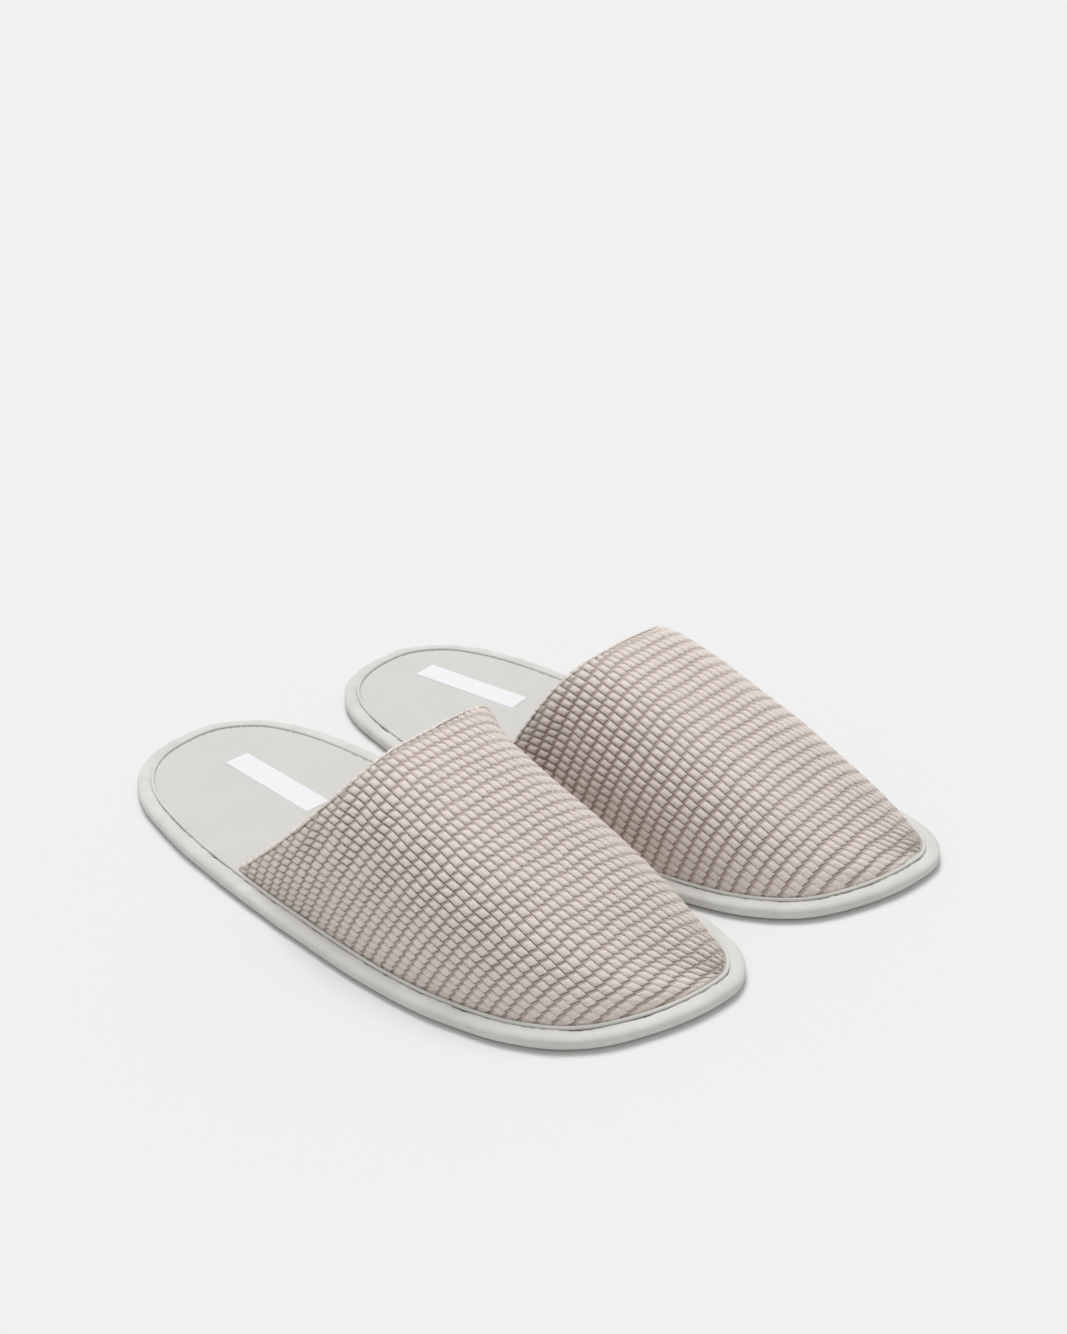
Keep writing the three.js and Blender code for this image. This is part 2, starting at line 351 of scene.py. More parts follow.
def sole_loop(distance, count):
    """The inset outline as points whose two long sides share the same y, and for each of them the
    point of the sole's middle line that faces it."""
    loop = inset(distance)
    top, low = int(np.argmax(loop[:, 1])), int(np.argmin(loop[:, 1]))
    loop = np.roll(loop, -top, 0)
    cut = (low - top) % len(loop)
    closed, arc = way_round(loop)

    def arc_left(y):
        return np.interp(-y, -closed[: cut + 1, 1], arc[: cut + 1])

    def arc_right(y):
        return np.interp(y, closed[cut:, 1], arc[cut:])

    sides, cap = int(count * 0.27), int(count * 0.23)
    y = np.linspace(SPINE_REACH, -SPINE_REACH, sides)
    toe_ends = arc_left(-SPINE_REACH), arc_right(-SPINE_REACH)
    heel_ends = arc_right(SPINE_REACH), arc_left(SPINE_REACH) + arc[-1]
    at = np.concatenate([
        arc_left(y),
        np.linspace(*toe_ends, cap + 2)[1:-1],
        arc_right(y[::-1]),
        np.linspace(*heel_ends, cap + 2)[1:-1] % arc[-1],
    ])
    edge = np.column_stack([np.interp(at, arc, closed[:, 0]), np.interp(at, arc, closed[:, 1])])
    left, right = spans(loop, y)

    def facing(values):
        toe, heel = np.full(cap, values[-1]), np.full(cap, values[0])
        return np.concatenate([values, toe, values[::-1], heel])

    return edge, np.column_stack([facing((left + right) / 2), facing(y)])


def weld(points, faces):
    """The points and faces with coinciding points made one."""
    key = np.round(points / 1e-3).astype(np.int64)
    _, firsts, inverse = np.unique(key, axis=0, return_index=True, return_inverse=True)
    return points[firsts], inverse.reshape(-1)[faces]


def slab(name, side, distance, profile, count, material, shape=None):
    """A closed slab of the sole's outline. The profile's rows are (share of the way out from the
    middle line, extra inset, z)."""
    loop, middle = sole_loop(distance, count)
    out = outward(loop)
    rows = []
    for share, extra, z in profile:
        edge = loop - out * extra
        flat = middle + (edge - middle) * share
        rows.append(np.column_stack([flat, np.full(len(loop), z)]))
    points = np.concatenate(rows)
    if shape is not None:
        points = shape(points)
    points, faces = weld(points, grid_faces(len(profile), len(loop), close_columns=True))
    return mesh(name, side, points, faces, material)


# ---------------------------------------------------------------- the upper's shell

def mouth_of(slipper):
    """The y of the mouth's edge as a function of the share across."""
    def at(s):
        s = np.asarray(s, float)
        foot = np.where(s < 0, *slipper["foot"])
        power = np.where(s < 0, *slipper["mouth_power"])
        return slipper["topline"] + (foot - slipper["topline"]) * np.abs(s) ** power
    return at


def shell(slipper, depth):
    """The upper's skin at a depth, as a function of the share across (-1 to 1) and y; the y of its
    toe; and its height along the crown as a function of y."""
    loop = inset(UPPER_INSET + depth)
    toe = float(loop[:, 1].min())
    crown = slipper["crown"] - depth
    mouth = mouth_of(slipper)

    def height_at(y):
        reach = (CROWN_Y - y) / (CROWN_Y - toe)
        fall = np.clip(np.sign(reach) * np.abs(reach) ** ARCH_POWER, 0, 1)
        return crown * (1 - fall) ** TOE_POWER

    def at(s, y):
        s, y = np.broadcast_arrays(np.asarray(s, float), np.asarray(y, float))
        left, right = spans(loop, np.maximum(y, toe + 0.02))
        height = height_at(y)
        arch = 1 - np.abs(s) ** SIDE_POWER
        swell = np.sign(s) * SIDE_BULGE * 4 * arch * (1 - arch) * np.minimum(height / 40, 1)
        inward = np.maximum(mouth(s) - y, 0)
        fullness = np.sqrt(np.maximum(np.sin(np.pi * arch), 0)) * (s > 0)
        flare = slipper["flare"] * np.exp(-(inward / FLARE_REACH) ** 2) * fullness
        droop = slipper["droop"] * np.exp(-(inward / DROOP_REACH) ** 2) * arch
        droop = droop * ease(s, -0.1, 0.6)
        x = (left + right) / 2 + (right - left) / 2 * s + swell + flare
        return np.stack([x, y, UPPER_Z + height * arch - droop], -1)

    return at, toe, height_at


def normals_of(at, s, y):
    """Outward unit normals of a skin."""
    step_s, step_y = 1e-3, 0.15
    inner = np.clip(s, -1 + 2 * step_s, 1 - 2 * step_s)
    across = at(inner + step_s, y) - at(inner - step_s, y)
    along = at(inner, y + step_y) - at(inner, y - step_y)
    n = np.cross(across, along)
    n /= np.maximum(np.linalg.norm(n, axis=-1), 1e-12)[..., None]
    return n


def inner_layer(name, side, outer, inner, back, material):
    """A closed thin shell inside the upper, from a way back from the mouth's edge to the toe."""
    slipper = SLIPPERS[side]
    mouth = mouth_of(slipper)
    s = np.sin(np.linspace(-1, 1, INNER_ACROSS) * math.pi / 2)
    share = 1 - (1 - np.linspace(0, 1, INNER_ALONG)) ** 2
    skins = []
    for depth in (outer, inner):
        at, toe, _ = shell(slipper, depth)
        begin = mouth(s) - back
        y = begin[None, :] + (toe + TOE_TRIM - begin[None, :]) * share[:, None]
        skins.append(at(np.repeat(s[None, :], INNER_ALONG, 0), y).reshape(-1, 3))
    return mesh(name, side, np.concatenate(skins), two_skins(INNER_ALONG, INNER_ACROSS), material)


# ---------------------------------------------------------------- the waffle knit

def pillow(u, v, cell):
    """Height of the knit from millimetres of fabric: 1 on a pillow, a lower band between the
    pillows of a column, and 0 in the gap between columns and under each pillow's toeward end."""
    across = np.abs(2 * (u / cell[0] - np.floor(u / cell[0])) - 1)
    along = v / cell[1] - np.floor(v / cell[1])
    gutter = ease(across, GUTTER, 1.0)
    dome = PILLOW_DOME * across ** 2 + PILLOW_DOME * (2 * along / PILLOW_END - 1) ** 2
    ends = ease(along, 0, 0.13) * (1 - ease(along, PILLOW_END - 0.02, PILLOW_END + 0.04))
    body = ends * (1 - gutter) * (1 - dome)
    before, after = ease(along, BAND_START - 0.02, BAND_START + 0.04), 1 - ease(along, 0.05, 0.12)
    band = np.maximum(np.maximum(before, after), UNDERCUT)
    beside = ease(np.abs(along - 0.4), 0.3, 0.36)
    ground = BAND_HEIGHT * band * (1 - 0.6 * gutter) * beside
    return np.clip(np.maximum(body, ground), 0, 1)


def cell_values(u, v, cell, seed):
    """One random value per cell, -1 to 1."""
    rng = np.random.default_rng(seed)
    table = rng.uniform(-1, 1, CELL_TABLE)
    i = np.floor(u / cell[0] + 1e-6).astype(int) % CELL_TABLE[0]
    j = np.floor(v / cell[1] + 1e-6).astype(int) % CELL_TABLE[1]
    return table[i, j]


def crown_line(slipper, toe, height_at):
    """Dense y along the crown from heel to toe, and the way along it from the mouth."""
    behind = max(slipper["foot"]) + 14
    y = np.linspace(behind, toe + 8, 600)
    y = np.concatenate([y, np.linspace(toe + 8, toe + TOE_TRIM, 300)[1:]])
    arc = np.concatenate([[0], np.cumsum(np.hypot(np.diff(y), np.diff(height_at(y))))])
    return y, arc - np.interp(-slipper["topline"], -y, arc)


def fabric_lines(slipper, arc):
    """The fabric's lines across (u) and along (v), in millimetres of fabric."""
    cell_u, cell_v = slipper["cell"]
    spare = 40  # the rows swing heelwards at the sides, so some begin beyond the crown's toe
    half_round = 66  # with the crown's height, more than the way down to the seam at the side
    first, last = math.floor(arc[0] / cell_v), math.ceil((arc[-1] + spare) / cell_v)
    reach = math.ceil((slipper["crown"] + half_round) / cell_u)
    u_lines = [(k + c) * cell_u for k in range(-reach, reach) for c in U_CUTS]
    v_lines = [(k + c) * cell_v for k in range(first, last) for c in V_CUTS]
    return np.array(u_lines + [reach * cell_u]), np.array(v_lines)


def fabric_grid(at, slipper, crown_y, arc, u_lines, v_lines):
    """Share across and y of each crossing of the fabric's lines, and which crossings lie beyond the
    seam at the sides and past the seam at the toe.

    U is the way across from the crown line, and V the way along it. Down the sides the rows swing
    towards the heel."""
    s = np.linspace(-1, 1, 601)
    s = np.sign(s) * (1 - (1 - np.abs(s)) ** 1.5)
    most = np.where(s < 0, *slipper["swing"])
    swing = np.tan(np.radians(most * ease(np.abs(s), SWING_FROM, SWING_TO)))
    middle = len(s) // 2
    y = np.unique(np.concatenate([crown_y[::4], crown_y[-1:]]))[::-1]
    v_crown = np.interp(-y, -crown_y, arc)
    across, shift = np.zeros((len(y), len(s))), np.zeros((len(y), len(s)))
    for k, spot in enumerate(y):
        line = at(s, spot)
        steps = np.hypot(np.diff(line[:, 0]), np.diff(line[:, 2]))
        across[k, 1:] = np.cumsum(steps)
        across[k] -= across[k, middle]
        sideways = steps * (swing[1:] + swing[:-1]) / 2 * np.sign(s[1:] + s[:-1])
        way = np.concatenate([[0], np.cumsum(sideways)])
        shift[k] = way - way[middle]
    v_all = np.maximum.accumulate(v_crown[:, None] + shift, axis=0)
    v_all += np.arange(len(y))[:, None] * 1e-7
    row_y, row_u = np.zeros((len(v_lines), len(s))), np.zeros((len(v_lines), len(s)))
    for j in range(len(s)):
        row_y[:, j] = np.interp(v_lines, v_all[:, j], y)
        row_u[:, j] = np.interp(-row_y[:, j], -y, across[:, j])
    ended = v_lines[:, None] > v_all[-1][None, :]
    S, Y = np.zeros((len(v_lines), len(u_lines))), np.zeros((len(v_lines), len(u_lines)))
    beyond, past = np.zeros(S.shape, bool), np.zeros(S.shape, bool)
    for k in range(len(v_lines)):
        S[k] = np.interp(u_lines, row_u[k], s)
        Y[k] = np.interp(u_lines, row_u[k], row_y[k])
        beyond[k] = (u_lines < row_u[k, 0]) | (u_lines > row_u[k, -1])
        past[k] = np.interp(u_lines, row_u[k], ended[k].astype(float)) > 0.5
    return S, Y, beyond, past


def slant_rows(Y, u_lines, v_lines, slipper):
    """Y with each pillow's ends a little slantwise, back to where they began in the next column."""
    cell_u = slipper["cell"][0]
    share = u_lines / cell_u - np.floor(u_lines / cell_u + 1e-9)
    first, last = U_CUTS[1], U_CUTS[-1]
    saw = np.interp(share, (0, first, last, 1), (0, first - 0.5, last - 0.5, 0))
    per_fabric = np.gradient(Y, axis=0) / np.gradient(v_lines)[:, None]
    return Y + per_fabric * (saw * slipper["slant"] * cell_u)[None, :]


def knit_attributes(u, v, tint, pale, cell):
    """What the knit's material reads at each point."""
    u, v = u.ravel(), v.ravel()
    none = np.zeros(len(u))
    return {
        "fabric": np.column_stack([u, v, none]),
        "cells": np.column_stack([u / cell[0], v / cell[1], none]),
        "tint": tint.ravel(),
        "pale": pale.ravel(),
    }


def edge_frame(at, mouth, s):
    """Directions at points of the mouth's edge: out of the shell, out of the mouth, and the
    fabric's own across and toeward."""
    y = mouth(s)
    after, before = np.clip(s + 2e-3, -1, 1), np.clip(s - 2e-3, -1, 1)
    run = at(after, mouth(after)) - at(before, mouth(before))
    run /= np.linalg.norm(run, axis=1)[:, None]
    up = normals_of(at, s, y)
    out = np.cross(run, up)
    out /= np.linalg.norm(out, axis=1)[:, None]
    out *= np.sign(out[:, 1])[:, None]
    across = at(np.clip(s + 1e-3, -1, 1), y) - at(np.clip(s - 1e-3, -1, 1), y)
    across /= np.linalg.norm(across, axis=1)[:, None]
    toeward = np.cross(across, up)
    toeward *= -np.sign(toeward[:, 1])[:, None]
    return up, out, across, toeward


def fold_rows(base, directions, u_edge, v_edge, slipper):
    """The hem's rows from the mouth's edge: half a turn inward, then back along the inside."""
    up, out, across, toeward = directions
    cell, seed = slipper["cell"], slipper["seed"]
    grow_u, grow_v = (out * across).sum(1), (out * toeward).sum(1)
    half_turn = HEM_RADIUS * math.pi
    steps = [(HEM_RADIUS * a, a, 0.0) for a in np.linspace(0, math.pi, HEM_STEPS + 1)[1:]]
    inside = np.linspace(0, HEM_WIDTH - 1, HEM_STEPS + 1)[1:]
    steps += [(half_turn + back, math.pi, back) for back in inside]
    for far, turn, back in steps:
        facing = up * math.cos(turn) + out * math.sin(turn)
        spot = base - up * HEM_RADIUS + facing * HEM_RADIUS - out * back
        u, v = u_edge + grow_u * far, v_edge + grow_v * far
        above_seam = np.clip((spot[:, 2] - UPPER_Z) / SEAM_RISE, 0, 1)
        lift = HEM_RELIEF * (PILLOW_HEIGHT * pillow(u, v, cell) - KNIT_SETTLE)
        lift *= SEAM_RELIEF + (1 - SEAM_RELIEF) * above_seam
        spot = spot + facing * lift[:, None]
        spot[:, 2] = np.maximum(spot[:, 2], SEAM_Z)
        tint = cell_values(u, v, cell, seed + 2)
        yield spot, knit_attributes(u, v, tint, np.full(len(u), HEM_PALE), cell)


def drop_fold_ends(points, faces, attributes, rings, across, toeward, cell):
    """Run both ends of the fold straight down into the sock, so that it isn't an open pipe."""
    for end in (0, -1):
        rail = np.array([row[end] for row in rings])
        drop = points[rail, 2] - SEAM_Z
        hangs = drop > 0.02
        tails = rail.copy()
        tails[hangs] = len(points) + np.arange(hangs.sum())
        drop = drop[hangs]
        step = np.column_stack([-drop * across[end, 2], -drop * toeward[end, 2], 0 * drop])
        grown = {key: values[rail[hangs]] for key, values in attributes.items()}
        grown["fabric"] = grown["fabric"] + step
        grown["cells"] = grown["cells"] + step / (*cell, 1)
        below = points[rail[hangs]]
        below[:, 2] -= drop
        points = np.vstack([points, below])
        attributes = {key: np.concatenate([attributes[key], grown[key]]) for key in attributes}
        for i in range(len(rail) - 1):
            strip = [rail[i], tails[i], tails[i + 1], rail[i + 1]]
            strip = list(dict.fromkeys(strip if end else strip[::-1]))
            if len(strip) > 2:
                faces.append(strip)
    return points, faces, attributes


def knit_upper(side, material):
    """The waffle knit from toe to mouth, with its hem folded in round the mouth."""
    slipper = SLIPPERS[side]
    cell, seed = slipper["cell"], slipper["seed"]
    at, toe, height_at = shell(slipper, 0.0)
    mouth_edge = mouth_of(slipper)

    def mouth(s):
        return mouth_edge(s) - HEM_ROOM

    crown_y, arc = crown_line(slipper, toe, height_at)
    u_lines, v_lines = fabric_lines(slipper, arc)
    S, Y, beyond, past = fabric_grid(at, slipper, crown_y, arc, u_lines, v_lines)
    rows, columns = S.shape
    Y = slant_rows(Y, u_lines, v_lines, slipper)
    U, V = np.repeat(u_lines[None, :], rows, 0), np.repeat(v_lines[:, None], columns, 1)
    cut = mouth(S)
    over = Y > cut
    Y = np.where(over, cut, Y)

    drift_s, drift_y = waves(seed, 9, 60, 14), waves(seed + 1, 9, 60, 14)
    inside = 1 - np.abs(S) ** 6
    S2 = S + DRIFT_ACROSS * inside * drift_s(U, V)
    Y2 = np.maximum(Y + DRIFT_ALONG * inside * drift_y(U, V) * ~over, toe + TOE_TRIM)

    base = at(S2, Y2)
    normal = normals_of(at, S2, Y2)
    cells = cell_values(U, V, cell, seed + 2)
    lumps = waves(seed + 3, 12, 70, 22)(U, V)
    # the cells flatten where they are sewn down
    above_seam = ease(base[..., 2] - UPPER_Z, 0, SEAM_RISE)
    lift = PILLOW_HEIGHT * pillow(U, V, cell) * (1 + KNIT_UNEVEN * cells) - KNIT_SETTLE
    lift *= SEAM_RELIEF + (1 - SEAM_RELIEF) * above_seam
    lift += KNIT_LUMP * lumps * above_seam
    points = base + normal * lift[..., None]
    points[..., 2] = np.where(beyond | past, SEAM_Z, points[..., 2])
    # pale: paler towards the mouth, and painted light where the shell faces up at the crown
    near_mouth = HEM_PALE * np.exp(-(np.maximum(cut - Y, 0) / PALE_REACH) ** 2)
    pale = np.maximum(near_mouth, CROWN_PAINTED_LIGHT * ease(normal[..., 2], 0.5, 0.9))

    quads = grid_faces(rows, columns)
    outside = (over | beyond | past).ravel()
    quads = quads[~outside[quads].all(1)]

    # crossings beyond a seam or the mouth fall together on it, and become one point each
    flat_points = points.reshape(-1, 3)
    key = np.round(flat_points / 1e-4).astype(np.int64)
    _, firsts, inverse = np.unique(key, axis=0, return_index=True, return_inverse=True)
    inverse = inverse.reshape(-1)
    quads = inverse[quads]
    points = flat_points[firsts]
    attributes = knit_attributes(U, V, cells, pale, cell)
    attributes = {name: values[firsts] for name, values in attributes.items()}

    # the points on the mouth's edge, in order across, with the folded hem grown from them
    used, on_edge = np.zeros(len(points), bool), np.zeros(len(points), bool)
    used[quads.ravel()] = True
    on_edge[inverse[over.ravel()]] = True
    ids = np.where(on_edge & used)[0]
    s_of = S.ravel()[firsts]
    ids = ids[np.argsort(s_of[ids])]
    s_edge = s_of[ids]
    y_edge = mouth(s_edge)
    directions = edge_frame(at, mouth, s_edge)
    u_edge, v_edge = attributes["fabric"][ids, 0], np.interp(-y_edge, -crown_y, arc)

    rings, parts, kinds = [ids], [points], [attributes]
    count = len(points)
    for spot, values in fold_rows(at(s_edge, y_edge), directions, u_edge, v_edge, slipper):
        parts.append(spot)
        kinds.append(values)
        rings.append(np.arange(count, count + len(ids)))
        count += len(ids)
    points = np.vstack(parts)
    attributes = {name: np.concatenate([k[name] for k in kinds]) for name in attributes}
    faces = [list(q) for q in quads]
    for near, far in zip(rings[:-1], rings[1:]):
        for i in range(len(ids) - 1):
            faces.append([near[i], near[i + 1], far[i + 1], far[i]])
    _, _, across, toeward = directions
    points, faces, attributes = drop_fold_ends(
        points, faces, attributes, rings, across, toeward, cell)

    # drop points that no face uses
    used = np.zeros(len(points), bool)
    for face in faces:
        used[face] = True
    renumber = np.cumsum(used) - 1
    faces = [[int(renumber[v]) for v in face] for face in faces]
    attributes = {name: values[used] for name, values in attributes.items()}
    return mesh(f"{side}_upper", side, points[used], faces, material, attributes)


# ---------------------------------------------------------------- sole

def cover_roll(side, material):
    """The padded roll round the sole: canvas over soft foam, puckered along its seam."""
    loop, out, share, length = ring(0, ROLL_POINTS)
    seed = SLIPPERS[side]["seed"]
    pucker = ring_noise(seed + 5, length, 9, 3.2, 22)(share)
    slack = ring_noise(seed + 6, length, 120, 18, 14)(share)
    ripple = ring_noise(seed + 7, length, 26, 8, 16)(share)
    half_w, half_h = ROLL_WIDTH / 2, (ROLL_TOP - ROLL_LOW) / 2
    rows = []
    for k in range(ROLL_SECTION):
        a = 2 * math.pi * k / ROLL_SECTION
        ca, sa = math.cos(a), math.sin(a)
        px = math.copysign(abs(ca) ** (2 / ROLL_POWER), ca)
        pz = math.copysign(abs(sa) ** (2 / ROLL_POWER), sa)
        seamward = max(0.0, -px) * max(0.0, pz + 0.3)
        bump = ROLL_PUCKER * pucker * min(1.0, 1.3 * seamward)
        bump = bump + ROLL_RIPPLE * ripple * max(0.0, pz) + ROLL_SLACK * slack
        if pz < -0.6:
            bump = bump * 0.3
        reach = half_w + (half_w + bump * 0.7) * px
        z = (ROLL_TOP + ROLL_LOW) / 2 + (half_h + bump) * pz
        rows.append(np.column_stack([loop - out * (ROLL_WIDTH - reach)[:, None], z]))
    faces = grid_faces(ROLL_SECTION, ROLL_POINTS, close_rows=True, close_columns=True)
    return mesh(f"{side}_roll", side, np.concatenate(rows), faces, material)


def piping(side, material):
    """The narrow corded piping between the roll and the lining."""
    loop, out, share, length = ring(PIPING_INSET, PIPING_POINTS)
    seed = SLIPPERS[side]["seed"]
    wander = PIPING_WANDER * ring_noise(seed + 8, length, 60, 14, 10)(share)
    radius = PIPING_R + PIPING_UNEVEN * ring_noise(seed + 9, length, 10, 2.4, 18)(share)
    rows = []
    for k in range(PIPING_SECTION):
        a = 2 * math.pi * k / PIPING_SECTION
        flat = loop + out * (radius * math.cos(a) + wander)[:, None]
        rows.append(np.column_stack([flat, PIPING_Z + radius * math.sin(a)]))
    faces = grid_faces(PIPING_SECTION, PIPING_POINTS, close_rows=True, close_columns=True)
    return mesh(f"{side}_piping", side, np.concatenate(rows), faces, material)


def sock(side, material):
    """The lining sheet of the footbed, drawn down at its sewn edge and a little full within."""
    puffs = waves(SLIPPERS[side]["seed"] + 12, 10, 90, 30)
    edge = inset(SOCK_INSET)

    def shape(points):
        x, y, z = points.T
        top = z > (SOCK_LOW + SOCK_TOP) / 2
        away = np.min([np.hypot(x - ex, y - ey) for ex, ey in edge[::6]], axis=0)
        rise = SOCK_PUFF * (1 - np.exp(-away / 3.0)) - SOCK_TUCK * np.exp(-away / 1.2)
        rise += SOCK_WAVE * puffs(x, y) * (1 - np.exp(-away / 6))
        return np.column_stack([x, y, z + np.where(top, rise, np.minimum(rise, 0))])

    inward = np.linspace(0, 1, 26) ** 0.55
    profile = [(s, 0.0, SOCK_LOW) for s in inward[::3]]
    profile += [(1, -0.15, (SOCK_LOW + SOCK_TOP) / 2)]
    profile += [(s, 0.0, SOCK_TOP) for s in inward[::-1]]
    return slab(f"{side}_sock_lining", side, SOCK_INSET, profile, SOCK_POINTS, material, shape)


def core(side, material):
    """The sole's foam, with rounded edges."""
    profile = [
        (0, 0, CORE_LOW), (0.5, 0, CORE_LOW), (1, 0.6, CORE_LOW), (1, 0.1, CORE_LOW + 0.5),
        (1, 0.1, CORE_TOP - 0.5), (1, 0.6, CORE_TOP), (0.5, 0, CORE_TOP), (0, 0, CORE_TOP),
    ]
    return slab(f"{side}_foam_core", side, CORE_INSET, profile, CORE_POINTS, material)


def outsole(side, material):
    """The thin foam-rubber sole, with a shallow groove set in from its edge."""
    profile = [
        (0, 0, 0.0), (0.5, 0, 0.0),
        (1, GROOVE_IN, 0.0), (1, GROOVE_IN - 0.2, GROOVE_DEPTH),
        (1, GROOVE_OUT + 0.2, GROOVE_DEPTH), (1, GROOVE_OUT, 0.0),
        (1, 0.35, 0.0), (1, 0.0, 0.3), (1, 0.0, OUTSOLE_TOP - 0.2),
        (1, 0.2, OUTSOLE_TOP), (0.5, 0, OUTSOLE_TOP), (0, 0, OUTSOLE_TOP),
    ]
    return slab(f"{side}_outsole", side, OUTSOLE_INSET, profile, OUTSOLE_POINTS, material)


def label(side, material):
    """The blank woven label, with slightly uneven cut ends."""
    slipper = SLIPPERS[side]
    cx, cy, tilt = slipper["label"]
    rng = np.random.default_rng(slipper["seed"] + 20)
    w, h, t = LABEL_SIZE
    across, along = LABEL_GRID
    x, y = np.linspace(-w / 2, w / 2, across), np.linspace(-h / 2, h / 2, along)
    xx, yy = np.meshgrid(x, y)
    fray = rng.normal(0, LABEL_FRAY, (2, across))
    end = np.clip((np.abs(yy) - h / 2 + 0.8) / 0.8, 0, 1)
    yy = yy + end * np.where(yy > 0, fray[1][None, :], fray[0][None, :])
    lie = waves(slipper["seed"] + 21, 6, 50, 16)(xx, yy)
    edge = np.minimum(h / 2 - np.abs(yy), w / 2 - np.abs(xx))
    pressed = 0.12 * np.exp(-np.maximum(edge, 0) / 0.35)
    top = SOCK_TOP + SOCK_PUFF + t * 0.55 + 0.07 * lie - pressed
    low = top - t * 0.8
    c, s = math.cos(math.radians(tilt)), math.sin(math.radians(tilt))
    px, py = cx + c * xx - s * yy, cy + s * xx + c * yy
    skins = [np.stack([px, py, z], -1).reshape(-1, 3) for z in (top, low)]
    fabric = np.stack([xx, yy, np.zeros_like(xx)], -1).reshape(-1, 3)
    return mesh(f"{side}_label_tape", side, np.concatenate(skins), two_skins(along, across),
                material, {"fabric": np.concatenate([fabric, fabric])})


# ---------------------------------------------------------------- materials

class Shader:
    """A small helper round one node material."""

    def __init__(self, name, roughness, sheen=0.0):
        self.material = bpy.data.materials.new(name)
        self.material.use_nodes = True
        self.tree = self.material.node_tree
        self.tree.nodes.clear()
        self.out = self.add("ShaderNodeOutputMaterial")
        self.skin = self.add("ShaderNodeBsdfPrincipled")
        self.skin.inputs["Roughness"].default_value = roughness
        self.skin.inputs["Specular IOR Level"].default_value = 0.2
        self.skin.inputs["Sheen Weight"].default_value = sheen
        self.skin.inputs["Sheen Roughness"].default_value = 0.6
        self.join(self.skin.outputs[0], self.out.inputs[0])

    def add(self, kind, **values):
        node = self.tree.nodes.new(kind)
        for key, value in values.items():
            setattr(node, key, value)
        return node

    def join(self, source, target):
        self.tree.links.new(source, target)

    def attribute(self, name):
        return self.add("ShaderNodeAttribute", attribute_name=name)

    def math(self, operation, first, second=None):
        node = self.add("ShaderNodeMath", operation=operation)
        for socket, value in zip(node.inputs, (first, second)):
            if isinstance(value, (int, float)):
                socket.default_value = value
            elif value is not None:
                self.join(value, socket)
        return node.outputs[0]

    def noise(self, scale, detail=2.0, vector=None, roughness=0.5):
        node = self.add("ShaderNodeTexNoise")
        node.inputs["Scale"].default_value = scale
        node.inputs["Detail"].default_value = detail
        node.inputs["Roughness"].default_value = roughness
        if vector is None:
            vector = self.add("ShaderNodeTexCoord").outputs["Object"]
        self.join(vector, node.inputs["Vector"])
        return node.outputs[0]

    def mix(self, factor, first, second):
        """A colour between first and second, each a linear colour or a socket."""
        node = self.add("ShaderNodeMix", data_type="RGBA")
        self.join(factor, node.inputs[0])
        for socket, value in ((node.inputs[6], first), (node.inputs[7], second)):
            if isinstance(value, tuple):
                socket.default_value = (*value, 1)
            else:
                self.join(value, socket)
        return node.outputs[2]

    def spread(self, value, low, high, to_low=0.0, to_high=1.0):
        """A value from low to high mapped to the range from to_low to to_high."""
        node = self.add("ShaderNodeMapRange")
        self.join(value, node.inputs[0])
        for socket, number in zip(node.inputs[1:5], (low, high, to_low, to_high)):
            socket.default_value = number
        return node.outputs[0]

    def colour(self, source):
        if isinstance(source, tuple):
            self.skin.inputs["Base Color"].default_value = (*source, 1)
        else:
            self.join(source, self.skin.inputs["Base Color"])

    def bump(self, height, distance):
        node = self.add("ShaderNodeBump")
        node.inputs["Strength"].default_value = 1.0
        node.inputs["Distance"].default_value = distance
        self.join(height, node.inputs["Height"])
        self.join(node.outputs[0], self.skin.inputs["Normal"])


def linear(tone):
    """A tone, sRGB 0 to 255, as a linear colour."""
    shares = (channel / 255 for channel in tone)
    return tuple(c / 12.92 if c <= 0.04045 else ((c + 0.055) / 1.055) ** 2.4 for c in shares)


def ribs(shader, coordinate, pitch, wander=None):
    """A sine of a coordinate, with its pitch in the coordinate's own units."""
    phase = shader.math("MULTIPLY", coordinate, 2 * math.pi / pitch)
    if wander is not None:
        phase = shader.math("ADD", phase, wander)
    return shader.math("SINE", phase)


def woven(shader, pitch, vector=None):
    """A plain weave's height, from a coordinate in millimetres or else from the object's own."""
    if vector is None:
        scaled = shader.add("ShaderNodeVectorMath", operation="SCALE")
        shader.join(shader.add("ShaderNodeTexCoord").outputs["Object"], scaled.inputs[0])
        scaled.inputs["Scale"].default_value = 1 / MM
        vector = scaled.outputs[0]
    parts = shader.add("ShaderNodeSeparateXYZ")
    shader.join(vector, parts.inputs[0])
    across, along = (ribs(shader, parts.outputs[i], pitch) for i in (0, 1))
    return shader.math("MULTIPLY", across, along)


